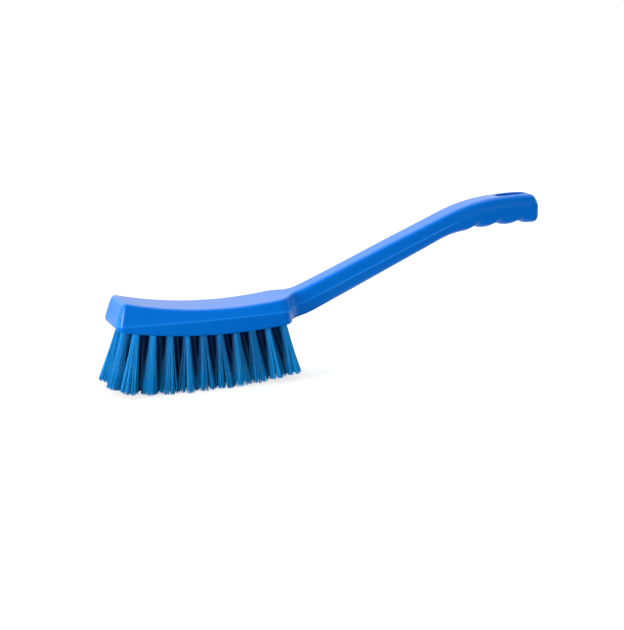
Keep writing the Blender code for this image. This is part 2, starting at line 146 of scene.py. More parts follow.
def bellyHeight(x):
    # The underside without its finger scallops, lowered a little along the handle by cubic steps
    turns = ((0, mould["bellyFrontAngle"]), (saddleLow, 0),
             (shoulderStart + mould["underTurnLag"], mould["bellyBackAngle"]),
             (handleStart + mould["underTurnLag"], mould["handleUnderAngle"]),
             (underBendStart, mould["handleUnderAngle"]),
             (underBendStart + mould["underBendLength"], mould["gripUnderAngle"]),
             (mould["length"] - mould["underLevelFromEnd"], 0), (mould["length"], 0))
    onHandle = smoothShare(x, handleStart, handleStart + mould["gripBendLength"]) - smoothShare(x, bendStart, bendEnd)
    return bentLine(turns, x) - mould["bottomDepthAtFront"] - mould["underDrop"] * onHandle


def scallopShare(x):
    # 1 in the narrow bottom of a finger scallop, 0 on the broad ridges: a power of one minus the size of a cosine
    fromValley = np.abs(np.cos(np.pi * (x - firstRidge) / mould["scallopPitch"]))
    return np.where((x > firstRidge) & (x < lastRidge), (1 - fromValley) ** mould["scallopSharpness"], 0)


def scallopedHeight(x):
    return bellyHeight(x) + mould["scallopDepth"] * scallopShare(x)


def shoulderShare(x, ease):
    # 0 on the block and 1 on the neck: a convex quarter ellipse at the corner, then a concave one. The share
    # named ease of a plain cubic step is mixed in, so that no part of the wall faces straight back.
    t = np.clip((x - shoulderStart) / (shoulderEnd - shoulderStart), 0, 1)
    corner = mould["shoulderOuterRadius"] / (shoulderEnd - shoulderStart)
    drop = mould["shoulderDropShare"]
    convex = drop * (1 - np.sqrt(np.clip(1 - (t / corner) ** 2, 0, 1)))
    concave = blend(drop, 1, np.sqrt(np.clip(1 - ((1 - t) / (1 - corner)) ** 2, 0, 1)))
    return blend(np.where(t <= corner, convex, concave), smoothShare(x, shoulderStart, shoulderEnd), ease)


def endInset(x):
    # How far a section shrinks near an end: the drop of a quarter circle
    front = np.clip(1 - x / mould["frontEndRadius"], 0, 1)
    back = np.clip(1 - (mould["length"] - x) / mould["gripEndRadius"], 0, 1)
    return (mould["frontEndRadius"] * (1 - np.sqrt(1 - front * front))
            + mould["gripEndRadius"] * (1 - np.sqrt(1 - back * back)))


def halfWidth(x, level, share):
    # Half the width at the level "Top", "Bottom" or, for the parting line, "": from block to neck by the share
    # given, and from neck to grip by a cubic step
    block, neck, grip = (mould[place + level + "Width"] for place in ("block", "neck", "grip"))
    return blend(block, blend(neck, grip, smoothShare(x, handleStart, bendEnd)), share) / 2


def rakedStation(x, upward, downward):
    # The end faces lean, so a point moves along X by its share of the way up or down from the parting line.
    # The front end also bulges to its top edge, by the cube of the way up.
    front = np.clip(1 - x / mould["frontBlendLength"], 0, 1)
    back = np.clip(1 - (mould["length"] - x) / mould["gripBlendLength"], 0, 1)
    above = (upward * (front * mould["frontRake"] - back * mould["gripEndRake"])
             + upward ** 3 * front * mould["frontCrown"])
    return x + above + downward * (front * mould["frontTuck"] + back * mould["gripEndFoot"])


def unit(v):
    # Vectors brought to length one
    return v / np.linalg.norm(v, axis=-1, keepdims=True)


def roundedCorners(before, corner, after, radius, steps):
    # One arc for each row: it touches both sides at the same distance from the corner, as far as they allow,
    # and is swept by turning a radius evenly from one touching point to the other
    toBefore = unit(before - corner)
    toAfter = unit(after - corner)
    half = np.arccos(np.clip(np.sum(toBefore * toAfter, axis=-1), -1, 1)) / 2
    room = np.minimum(np.linalg.norm(before - corner, axis=-1), np.linalg.norm(after - corner, axis=-1)) / 2
    cut = np.minimum(radius / np.tan(half), room)
    centre = corner + unit(toBefore + toAfter) * (cut / np.cos(half))[:, None]
    start = corner + toBefore * cut[:, None] - centre
    end = corner + toAfter * cut[:, None] - centre
    turn = np.pi - 2 * half
    t = np.linspace(0, 1, steps + 1)[None, :, None]
    angle = turn[:, None, None]
    arm = (np.sin((1 - t) * angle) * start[:, None] + np.sin(t * angle) * end[:, None]) / np.sin(angle)
    return centre[:, None] + arm


def alongLine(start, end, shares):
    # Points on the lines from start to end, at the given shares of the way
    return start[:, None] + (end - start)[:, None] * np.asarray(shares)[None, :, None]


def columnShares(columns):
    # The middles of equal columns
    return (np.arange(columns) + 0.5) / columns


def innerShares(steps):
    # The ends of equal steps, without the first point and the last
    return np.arange(1, steps) / steps


def partingCurve(x, topArc, bottomArc, parting):
    # A quadratic curve from side to side: narrow along the block and handle, with a raised sine-squared seam on
    # it, and broad without a seam on the grip
    melted = smoothShare(x, mould["seamFadeStart"], mould["seamFadeEnd"])
    above = topArc[:, -1] - parting
    below = bottomArc[:, 0] - parting
    room = np.minimum(np.linalg.norm(above, axis=-1), np.linalg.norm(below, axis=-1)) * mould["seamRoomShare"]
    seamHalf = np.minimum(blend(mould["seamWidth"], mould["meltedWidth"], melted) / 2, room)[:, None]
    upSide = parting + unit(above) * seamHalf
    downSide = parting + unit(below) * seamHalf
    outward = unit(2 * parting - upSide - downSide) * ((1 - melted) * mould["seamHeight"])[:, None]
    outward[:, 0] = np.abs(outward[:, 0])
    t = np.linspace(0, 1, fineness["seamSteps"] + 1)[None, :, None]
    curve = (1 - t) ** 2 * upSide[:, None] + 2 * t * (1 - t) * parting[:, None] + t ** 2 * downSide[:, None]
    return curve + np.sin(np.pi * t) ** 2 * outward[:, None]


def rakedAndScalloped(x, half, topZ, partingZ, bottomZ, wide):
    # Leans the ends, and draws the surface in and up at each finger scallop by a power of the way down. The
    # scallops lean back up the side.
    z = half[..., 1]
    upward = np.clip((z - partingZ[:, None]) / (topZ - partingZ)[:, None], 0, 1)
    downward = np.clip((partingZ[:, None] - z) / (partingZ - bottomZ)[:, None], 0, 1)
    swept = x[:, None] - mould["scallopSweep"] * (mould["scallopAnchorShare"] - downward)
    scallop = scallopShare(swept) * downward ** mould["scallopFade"]
    y = half[..., 0] * (1 - scallop * (mould["scallopSideDepth"] / wide)[:, None])
    z = z + mould["scallopDepth"] * scallop
    return np.stack([rakedStation(x[:, None], upward, downward), y, z], axis=-1)


def mouldingSections(x):
    # The +Y half of every section: flat top, round edge, drafted side, parting, lower side, round edge, flat
    # bottom. Beside the handle's top edge the flat top has a shallow groove, deepened and faded by cubic steps.
    inset = endInset(x)
    shoulder = shoulderShare(x, mould["shoulderEase"])
    lowerShoulder = shoulderShare(x - mould["shoulderLowerLag"], mould["shoulderLowerEase"])
    early = smoothShare(x, shoulderStart - mould["shoulderTopLead"], shoulderEnd)
    topZ = topHeight(np.clip(rakedStation(x, 1, 0), 0, mould["length"])) - inset
    partingZ = partingHeight(x)
    bottomZ = bellyHeight(x) + inset * blend(mould["bottomInsetShare"], 1, shoulder)
    upper = halfWidth(x, "Top", early) - inset
    wide = halfWidth(x, "", shoulder) - inset
    lower = halfWidth(x, "Bottom", lowerShoulder) - inset
    handleRadius = blend(mould["handleTopRadius"], mould["gripTopRadius"], smoothShare(x, bendStart, bendEnd))
    topRadius = blend(mould["topEdgeRadius"], handleRadius, shoulder)
    bottomRadius = blend(mould["blockBottomRadius"], mould["handleBottomRadius"], shoulder)
    top = np.stack([np.minimum(upper, wide), topZ], axis=-1)
    parting = np.stack([wide, partingZ], axis=-1)
    bottom = np.stack([lower, bottomZ], axis=-1)
    onMid = np.array([0.0, 1.0])
    topArc = roundedCorners(top * onMid, top, parting, topRadius, fineness["edgeSteps"])
    bottomArc = roundedCorners(parting, bottom, bottom * onMid, bottomRadius, fineness["edgeSteps"])
    seam = partingCurve(x, topArc, bottomArc, parting)
    flatTop = alongLine(top * onMid, topArc[:, 0], columnShares(fineness["topColumns"]))
    groove = (smoothShare(x, mould["grooveStart"], mould["grooveFull"])
              - smoothShare(x, mould["grooveFadeFrom"], mould["grooveFadeTo"]))
    flatTop[:, -2, 1] -= mould["topGroove"] * groove
    upperSide = alongLine(topArc[:, -1], seam[:, 0], innerShares(fineness["upperSteps"]))
    lowerSide = alongLine(seam[:, -1], bottomArc[:, 0], innerShares(fineness["lowerSteps"]))
    flatBottom = alongLine(bottomArc[:, -1], bottom * onMid, columnShares(fineness["bottomColumns"]))
    half = np.concatenate([flatTop, topArc, upperSide, seam, lowerSide, bottomArc, flatBottom], axis=1)
    return rakedAndScalloped(x, half, topZ, partingZ, bottomZ, wide)


def mouldingStations():
    # Even steps along the moulding, and quarter-circle steps where an end or the shoulder is round
    turn = np.linspace(0, np.pi / 2, fineness["endSteps"] + 1)
    bend = np.linspace(0, np.pi / 2, fineness["shoulderSteps"] + 1)
    roundStart = mould["length"] - mould["gripEndRadius"]
    even = np.arange(mould["frontEndRadius"], roundStart, fineness["stationStep"])
    even = even[(even < shoulderStart) | (even > shoulderEnd)]
    parts = [mould["frontEndRadius"] * (1 - np.cos(turn)), even,
             shoulderStart + mould["shoulderOuterRadius"] * np.sin(bend),
             shoulderEnd - mould["shoulderInnerLength"] * np.cos(bend),
             roundStart + mould["gripEndRadius"] * np.sin(turn)]
    found = np.sort(np.concatenate(parts))
    keep = np.concatenate([[True], np.diff(found) > fineness["leastStep"]])
    return found[keep]


def meshFromArrays(name, points, faceSizes, faceVertices, smooth=True):
    # points (n, 3); faceVertices is one flat list of vertex numbers, faceSizes the corners of each face
    mesh = bpy.data.meshes.new(name)
    mesh.vertices.add(len(points))
    mesh.vertices.foreach_set("co", np.ascontiguousarray(points, dtype=np.float32).ravel())
    mesh.loops.add(len(faceVertices))
    mesh.loops.foreach_set("vertex_index", np.ascontiguousarray(faceVertices, dtype=np.int32))
    mesh.polygons.add(len(faceSizes))
    starts = np.concatenate([[0], np.cumsum(faceSizes)[:-1]]).astype(np.int32)
    mesh.polygons.foreach_set("loop_start", starts)
    mesh.update(calc_edges=True)
    mesh.validate()
    mesh.polygons.foreach_set("use_smooth", np.full(len(mesh.polygons), smooth))
    piece = bpy.data.objects.new(name, mesh)
    bpy.context.scene.collection.objects.link(piece)
    return piece


def gridFaces(rows, columns):
    # Quads of a grid of closed rings, as vertex numbers: each ring joins to the next one
    row = np.arange(rows - 1)[:, None] * columns
    column = np.arange(columns)[None, :]
    after = (column + 1) % columns
    quads = [row + column, row + columns + column, row + columns + after, row + after]
    return np.stack(quads, axis=-1).reshape(-1, 4)


def facesOut(piece):
    # Turns every face outward
    bm = bmesh.new()
    bm.from_mesh(piece.data)
    bmesh.ops.recalc_face_normals(bm, faces=bm.faces)
    bm.to_mesh(piece.data)
    bm.free()


def fanCap(first, columns, pole):
    # Triangles that close a ring round a point in its middle
    k = np.arange(columns)
    return np.stack([first + k, first + (k + 1) % columns, np.full(columns, pole)], axis=-1)


def closedLoft(name, rings):
    # rings (n, m, 3): a closed solid through the rings. A narrow border and a fan round a pole close each end.
    poles = rings[[0, -1]].mean(axis=1)
    borders = blend(poles[:, None], rings[[0, -1]], fineness["capBorder"])
    rings = np.concatenate([borders[:1], rings, borders[1:]])
    rows, columns = rings.shape[:2]
    count = rows * columns
    sides = gridFaces(rows, columns)
    startCap = fanCap(0, columns, count)[:, ::-1]
    endCap = fanCap(count - columns, columns, count + 1)
    sizes = np.concatenate([np.full(len(sides), 4), np.full(2 * columns, 3)])
    flat = np.concatenate([sides.ravel(), startCap.ravel(), endCap.ravel()])
    piece = meshFromArrays(name, np.concatenate([rings.reshape(-1, 3), poles]), sizes, flat)
    facesOut(piece)
    return piece


def tubeFaces(count, rows, columns, walls):
    # The faces of many tubes of the same kind in one mesh: walls is what gridFaces gives for one tube. Returns
    # the corners of each face and one flat list of vertex numbers, as meshFromArrays takes them.
    base = np.arange(count)[:, None] * rows * columns
    allWalls = (base[:, :, None] + walls[None]).ravel()
    k = np.arange(columns)[None]
    startCaps = base + k
    endCaps = base + (rows - 1) * columns + k[:, ::-1]
    sizes = np.concatenate([np.full(count * len(walls), 4), np.full(2 * count, columns)])
    return sizes, np.concatenate([allWalls, startCaps.ravel(), endCaps.ravel()])


def mirroredRings(half):
    # Closes each half ring with its mirror image in Y
    return np.concatenate([half, half[:, ::-1] * np.array([1, -1, 1])], axis=1)


def sideAxes(down):
    # Two axes square to the axis of a tuft, the first one along the brush
    u = unit(np.cross(np.array([0.0, 1.0, 0.0]), down))
    return u, np.cross(down, u)


# Tufts: rows across the block, every second row half a pitch nearer the front
tuft = {
    "rows": 5, "inRow": 10, "holeDiameter": 0.0064, "holeDepth": 0.0105, "holeClearance": 0.0003,
    "firstFromFront": 0.0179, "lastFromBlockEnd": 0.0082, "outerRowFromEdge": 0.0054,
    "fanFrontAngle": 12.5, "fanBackAngle": 9.0, "fanAcrossAngle": 10.0,
    "bristleHeight": 0.060, "trimRadius": 0.545, "trimCentre": 0.075, "standingCut": 0.0005, "trimRounds": 6,
    "filaments": 76, "filamentDiameter": 0.00056, "sides": 4, "freeSteps": 3, "foldSteps": 2,
    "packedRadius": 0.0027, "tipRadius": 0.0090, "splayPower": 1.18, "tipJitter": 0.00018, "trimJitter": 0.0003,
    "clumps": 20, "clumpShare": 0.40, "clumpLeast": 0.4, "clumpToneShare": 0.7,
    "strayShare": 0.01, "strayReach": 0.0013,
    "endDraw": 0.76, "frontDrawRun": 0.008, "backDrawFrom": 0.142, "backDrawTo": 0.150,
    # Painted shade in the bristle field: where it starts, how fast it deepens, its darkest share and how it clears to
    # the tips
    "shadeFrom": 0.0028, "shadeDepth": 0.0030, "shadeLeast": 0.10, "shadeTipPower": 3, "seed": 41,
}
# The flat wire across the fold of each tuft, at the bottom of its hole
staple = {
    "height": 0.0018, "thickness": 0.0005, "run": 0.0052, "sides": 16, "steps": 11, "cornerPower": 0.5,
    "drawFrom": 0.8, "drawRun": 0.2, "drawLeast": 0.04,
}

offset = Vector((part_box("brush_body")[0].x, 0, tuft["bristleHeight"]))  # from the moulding's frame to the row's


def tuftPlaces():
    # Mouth and direction of each tuft, in the moulding's frame: (rows, inRow, 3) arrays
    last = mould["blockLength"] - tuft["lastFromBlockEnd"]
    pitch = (last - tuft["firstFromFront"]) / (tuft["inRow"] - 1)
    middle = (tuft["firstFromFront"] + last) / 2
    across = np.linspace(-1, 1, tuft["rows"])[:, None]
    shift = np.where(np.arange(tuft["rows"]) % 2 == 1, pitch / 2, 0)[:, None]
    x = tuft["firstFromFront"] + np.arange(tuft["inRow"])[None, :] * pitch - shift
    along = (x - middle) / (last - middle)
    fan = np.where(along < 0, tuft["fanFrontAngle"], tuft["fanBackAngle"])
    outerRow = mould["blockBottomWidth"] / 2 - tuft["outerRowFromEdge"]
    leanX = np.tan(np.radians(fan * along))
    leanY = np.tan(np.radians(tuft["fanAcrossAngle"] * across)) + 0 * x
    mouth = np.stack([x, outerRow * across + 0 * x, bellyHeight(x)], axis=-1)
    return mouth, unit(np.stack([leanX, leanY, -np.ones_like(x)], axis=-1))


def slotCutter():
    # A stadium carried down through the grip, flaring as a quarter circle where it meets the top and the underside
    turn = np.pi / 2 * (np.arange(fineness["slotTurnSteps"]) + 0.5) / fineness["slotTurnSteps"]
    straight = (mould["slotLength"] - mould["slotWidth"]) / 2
    run = np.linspace(straight, -straight, fineness["slotRunSteps"])[1:-1]
    sweep = np.linspace(mould["slotRimFrom"], 1, fineness["rimSteps"]) * np.pi / 2
    rim = mould["slotRim"]
    depth = np.concatenate([[-fineness["rimsPastSlot"] * rim], rim * (1 - np.cos(sweep))])
    grow = np.concatenate([[rim], rim * (1 - np.sin(sweep))])
    rings = []
    for fromTop in (True, False):
        order = slice(None) if fromTop else slice(None, None, -1)
        for level, wider in zip(depth[order], grow[order]):
            radius = mould["slotWidth"] / 2 + wider
            x = slotMiddle + np.concatenate([straight + radius * np.cos(turn), run, -straight - radius * np.sin(turn)])
            y = np.concatenate([radius * np.sin(turn), np.full(len(run), radius), radius * np.cos(turn)])
            z = topHeight(x) - level if fromTop else scallopedHeight(x) + level
            rings.append(np.stack([x, y, z], axis=-1))
    return closedLoft("slotCutter", mirroredRings(np.array(rings)) + np.array(offset))


def holeCutters(mouths, directions):
    # One round pin for each blind hole, all in one mesh
    sides = fineness["holeSides"]
    turn = np.arange(sides) * 2 * np.pi / sides
    mouth = mouths.reshape(-1, 3)
    down = directions.reshape(-1, 3)
    u, v = sideAxes(down)
    circle = np.cos(turn)[None, :, None] * u[:, None] + np.sin(turn)[None, :, None] * v[:, None]
    radius = tuft["holeDiameter"] / 2
    inner = (mouth - down * tuft["holeDepth"])[:, None] + circle * radius
    outer = (mouth + down * fineness["pastHole"])[:, None] + circle * radius
    points = np.stack([inner, outer], axis=1) + np.array(offset)
    count = len(mouth)
    base = np.arange(count)[:, None] * 2 * sides
    k = np.arange(sides)[None, :]
    after = (k + 1) % sides
    walls = np.stack([base + k, base + after, base + sides + after, base + sides + k], axis=-1).reshape(-1, 4)
    innerCaps = base + k[:, ::-1]
    outerCaps = base + sides + k
    flat = np.concatenate([walls.ravel(), innerCaps.ravel(), outerCaps.ravel()])
    sizes = np.concatenate([np.full(len(walls), 4), np.full(2 * count, sides)])
    piece = meshFromArrays("holeCutters", points.reshape(-1, 3), sizes, flat)
    facesOut(piece)
    return piece


def cutAway(piece, cutter):
    # Cuts one solid out of another and deletes the cutter
    step = piece.modifiers.new("cut", "BOOLEAN")
    step.operation = "DIFFERENCE"
    step.solver = "EXACT"
    step.object = cutter
    depsgraph = bpy.context.evaluated_depsgraph_get()
    done = bpy.data.meshes.new_from_object(piece.evaluated_get(depsgraph))
    piece.modifiers.clear()
    piece.data = done
    bpy.data.objects.remove(cutter, do_unlink=True)


def addShare(piece, name, values):
    # One value for each vertex, for the materials to read
    layer = piece.data.attributes.new(name, "FLOAT", "POINT")
    layer.data.foreach_set("value", values.astype(np.float32))


def markParting(piece):
    # Where the moulding's colour gets a painted highlight: 1 along the raised parting seam, a bell curve of the height
    # above or below it, and 0 where the seam has faded
    points = np.empty(len(piece.data.vertices) * 3)
    piece.data.vertices.foreach_get("co", points)
    points = points.reshape(-1, 3) - np.array(offset)
    x = np.clip(points[:, 0], 0, mould["length"])
    wide = halfWidth(x, "", shoulderShare(x, mould["shoulderEase"])) - endInset(x)
    near = np.exp(-((points[:, 2] - partingHeight(x)) / (mould["seamWidth"] * mould["seamBellShare"])) ** 2)
    onSide = np.abs(points[:, 1]) > wide * mould["seamSideShare"]
    marked = near * onSide * (1 - smoothShare(x, mould["seamFadeStart"], mould["seamFadeEnd"]))
    addShare(piece, "seamHighlightShare", marked)


def makeMoulding(mouths, directions, material):
    half = mouldingSections(mouldingStations())
    piece = closedLoft("mouldedBody", mirroredRings(half) + np.array(offset))
    cutAway(piece, slotCutter())
    cutAway(piece, holeCutters(mouths, directions))
    markParting(piece)
    piece.data.polygons.foreach_set("use_smooth", np.ones(len(piece.data.polygons), dtype=bool))
    piece.data.set_sharp_from_angle(angle=math.radians(fineness["sharpAngle"]))
    piece.data.materials.clear()
    piece.data.materials.append(material)
    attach(piece, "root")
    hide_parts("brush_body")
    print("moulding:", len(piece.data.polygons), "faces")


def trimHeight(x):
    # The cut ends of the bristles: a shallow arc, flat in the plane that the brush stands on
    fromCentre = x - tuft["trimCentre"]
    arc = tuft["trimRadius"] - np.sqrt(tuft["trimRadius"] ** 2 - fromCentre ** 2)
    return np.maximum(arc, tuft["standingCut"]) - tuft["standingCut"] - tuft["bristleHeight"]


def clumpedPlan(share, random):
    # share (legs, 2): where each strand is in its bundle. At the tips the strands draw near to the middles of
    # clumps and scatter a little, and a few stray. Returns their places there and a tone, mostly the clump's.
    legs = len(share)
    clumpAngle = random.uniform(0, 2 * np.pi, tuft["clumps"])
    clumpRadius = np.sqrt(columnShares(tuft["clumps"]))
    clumps = np.stack([clumpRadius * np.cos(clumpAngle), clumpRadius * np.sin(clumpAngle)], axis=-1)
    nearest = np.argmin(np.linalg.norm(share[:, None] - clumps[None], axis=-1), axis=1)
    pull = tuft["clumpShare"] * random.uniform(tuft["clumpLeast"], 1.0, (legs, 1))
    ownTone = random.uniform(0, 1, legs)
    clumpTone = random.uniform(0, 1, tuft["clumps"])
    fanned = blend(share, clumps[nearest], pull) * tuft["tipRadius"]
    fanned += random.normal(0, tuft["tipJitter"], (legs, 2))
    stray = random.uniform(0, 1, legs) < tuft["strayShare"]
    fanned[stray] += random.normal(0, tuft["strayReach"], (int(stray.sum()), 2))
    return fanned, blend(ownTone, clumpTone[nearest], tuft["clumpToneShare"])


def drawnIn(spread, x):
    # At both ends of the field the strands spread less along the brush, on its outer side
    first = tuft["firstFromFront"]
    atFront = smoothShare(-x, -first - tuft["frontDrawRun"], -first) * (spread[:, 0] < 0)
    atBack = smoothShare(x, tuft["backDrawFrom"], tuft["backDrawTo"]) * (spread[:, 0] > 0)
    spread[:, 0] *= blend(1, tuft["endDraw"], np.maximum(atFront, atBack))
    return spread


def trimmedTips(roots, tips, random):
    # Each strand ends where its line meets the trim arc, found by going there again from the last height, less a
    # random bit of its length
    along = tips - roots
    length = np.ones(len(roots))
    for _ in range(tuft["trimRounds"]):
        at = roots + along * length[:, None]
        length = (trimHeight(at[:, 0]) - roots[:, 2]) / along[:, 2]
    length = length - random.uniform(0, tuft["trimJitter"], len(roots)) / np.linalg.norm(along, axis=1)
    return roots + along * length[:, None]


def filamentPaths(mouth, down, random):
    # Filaments folded double: two legs that lie side by side in the hole, packed in a sunflower spiral, joined by
    # a half turn under the staple, and fanned outside the hole by a power of the way to their tips. Returns
    # (filaments, points, 3), how far each point is to the tip, a steady side vector and the tone of each point.
    count = tuft["filaments"]
    u, v = sideAxes(down)
    spin = random.uniform(0, 2 * np.pi)
    radius = tuft["packedRadius"] * np.sqrt((np.arange(count) + 0.5) / count)
    angle = np.arange(count) * np.pi * (3 - math.sqrt(5))
    leftA = radius * np.cos(angle)
    rightA = np.abs(radius * np.sin(angle)) + staple["thickness"] / 2
    plane = np.stack([np.concatenate([leftA, leftA]), np.concatenate([rightA, -rightA])], axis=-1)
    fanned, legTone = clumpedPlan(plane / tuft["packedRadius"], random)
    turnedU = u * math.cos(spin) + v * math.sin(spin)
    turnedV = v * math.cos(spin) - u * math.sin(spin)
    roots = mouth + plane[:, :1] * turnedU + plane[:, 1:] * turnedV
    reach = (tuft["bristleHeight"] + mouth[2]) / -down[2]
    spread = drawnIn(fanned[:, :1] * turnedU + fanned[:, 1:] * turnedV, mouth[0])
    tips = trimmedTips(roots, mouth + down * reach + spread, random)
    t = np.linspace(0, 1, tuft["freeSteps"] + 1)
    onAxis = down[None, :] * ((tips - roots) @ down)[:, None]
    sideways = tips - roots - onAxis
    free = roots[:, None] + onAxis[:, None] * t[None, :, None]
    free = free + sideways[:, None] * (t ** tuft["splayPower"])[None, :, None]
    bend = np.linspace(0, np.pi, tuft["foldSteps"] + 1)
    inner = tuft["holeDepth"] - staple["height"] - tuft["holeClearance"]
    fromMiddle = np.abs(plane[:count, 1])
    foldCentre = (roots[:count] + roots[count:]) / 2 - down[None, :] * (inner - fromMiddle)[:, None]
    across = (roots[:count] - roots[count:]) / 2
    fold = foldCentre[:, None] + across[:, None] * np.cos(bend)[None, :, None]
    fold = fold - down[None, None, :] * (fromMiddle[:, None] * np.sin(bend)[None, :])[..., None]
    paths = np.concatenate([free[:count, ::-1], fold, free[count:]], axis=1)
    away = np.concatenate([t[::-1], np.zeros(len(bend)), t])
    tone = np.concatenate([np.repeat(legTone[:count, None], len(t) + len(bend), axis=1),
                           np.repeat(legTone[count:, None], len(t), axis=1)], axis=1)
    return paths, away, unit(np.cross(across, down)), tone


def openShare(paths, away):
    # How open a point of the bristle field is to the light: 1 at its outer strands, falling by a bell curve of the
    # depth within them, and back to 1 at the tips. The filament material darkens the strands' colour by it: painted
    # shade.
    drop = np.clip(-paths[..., 2], 0, None)
    around = blend(tuft["packedRadius"], tuft["tipRadius"], np.clip(drop / tuft["bristleHeight"], 0, 1))
    front, back, side = (math.tan(math.radians(tuft[angle])) * drop
                         for angle in ("fanFrontAngle", "fanBackAngle", "fanAcrossAngle"))
    fromSide = mould["blockBottomWidth"] / 2 - tuft["outerRowFromEdge"] + side - np.abs(paths[..., 1])
    fromFront = paths[..., 0] - (tuft["firstFromFront"] - front)
    fromBack = mould["blockLength"] - tuft["lastFromBlockEnd"] + back - paths[..., 0]
    depth = np.minimum(fromSide, np.minimum(fromFront, fromBack)) + around
    shade = np.exp(-(np.clip(depth - tuft["shadeFrom"], 0, None) / tuft["shadeDepth"]) ** 2)
    return blend(blend(tuft["shadeLeast"], 1, shade), 1, away[None, :] ** tuft["shadeTipPower"])


def tubes(paths, across, radius, sides):
    # Rings of a polygon carried along every path, square to its tangent; across is a steady side vector
    tangent = unit(np.gradient(paths, axis=1))
    first = unit(np.cross(tangent, across[:, None]))
    second = np.cross(first, tangent)
    turn = np.arange(sides) * 2 * np.pi / sides
    ring = np.cos(turn)[:, None] * first[:, :, None] + np.sin(turn)[:, None] * second[:, :, None]
    return paths[:, :, None] + ring * radius


def makeTuft(label, mouth, down, random, material):
    paths, away, across, strandTone = filamentPaths(mouth, down, random)
    count, steps = paths.shape[:2]
    sides = tuft["sides"]
    points = tubes(paths, across, tuft["filamentDiameter"] / 2, sides) + np.array(offset)
    sizes, flat = tubeFaces(count, steps, sides, gridFaces(steps, sides)[:, ::-1])
    piece = meshFromArrays("filaments_" + label, points.reshape(-1, 3), sizes, flat)
    addShare(piece, "strandTone", np.repeat(strandTone.ravel(), sides))
    addShare(piece, "toTip", np.tile(np.repeat(away, sides), count))
    addShare(piece, "openShare", np.repeat(openShare(paths, away).ravel(), sides))
    piece.data.materials.append(material)
    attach(piece, "root")
    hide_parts("tuft_" + label)


def makeStaples(mouths, directions, material):
    # A flat bar across each fold: a rounded rectangle, by a power of cosine and sine, carried along the bar, its
    # ends drawn in by a quarter circle
    turn = np.arange(staple["sides"]) * 2 * np.pi / staple["sides"]
    profile = [np.sign(wave) * np.abs(wave) ** staple["cornerPower"] * size / 2
               for wave, size in ((np.cos(turn), staple["thickness"]), (np.sin(turn), staple["height"]))]
    profile = np.stack(profile, axis=-1)
    t = np.linspace(-1, 1, staple["steps"])
    past = np.clip((np.abs(t) - staple["drawFrom"]) / staple["drawRun"], 0, 1)
    draw = np.sqrt(np.clip(1 - past ** 2, staple["drawLeast"], 1))
    allRings = []
    for mouth, down in zip(mouths.reshape(-1, 3), directions.reshape(-1, 3)):
        u, v = sideAxes(down)
        centre = mouth - down * (tuft["holeDepth"] - staple["height"] / 2 - tuft["holeClearance"])
        middle = centre + u * t[:, None] * staple["run"] / 2
        ring = (middle[:, None] + v * profile[None, :, :1] * draw[:, None, None]
                - down * profile[None, :, 1:] * draw[:, None, None])
        allRings.append(ring)
    rings = np.array(allRings) + np.array(offset)
    count, steps, sides = rings.shape[:3]
    sizes, flat = tubeFaces(count, steps, sides, gridFaces(steps, sides))
    piece = meshFromArrays("staples", rings.reshape(-1, 3), sizes, flat)
    facesOut(piece)
    piece.data.materials.append(material)
    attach(piece, "root")


def newMaterial(name):
    material = bpy.data.materials.new(name)
    material.use_nodes = True
    nodes = material.node_tree.nodes
    return material, nodes, material.node_tree.links, nodes["Principled BSDF"]


def addNode(nodes, kind, **values):
    node = nodes.new(kind)
    for name, value in values.items():
        setattr(node, name, value)
    return node


def feed(links, socket, source):
    # Links an output to an input, or sets the input's own value
    if isinstance(source, bpy.types.NodeSocket):
        links.new(source, socket)
    else:
        socket.default_value = source


def addMath(nodes, links, operation, *sources):
    node = addNode(nodes, "ShaderNodeMath", operation=operation)
    for socket, source in zip(node.inputs, sources):
        feed(links, socket, source)
    return node.outputs[0]


def mixTone(nodes, links, share, first, second):
    node = addNode(nodes, "ShaderNodeMix", data_type="RGBA")
    for number, source in ((0, share), (6, first), (7, second)):  # the sockets of a colour mix
        feed(links, node.inputs[number], source)
    return node.outputs[2]


def readShare(nodes, name):
    return addNode(nodes, "ShaderNodeAttribute", attribute_name=name).outputs["Fac"]


def addNoise(nodes, links, place, scale, detail):
    node = addNode(nodes, "ShaderNodeTexNoise")
    for name, source in (("Vector", place), ("Scale", scale), ("Detail", detail)):
        feed(links, node.inputs[name], source)
    return node.outputs["Fac"]


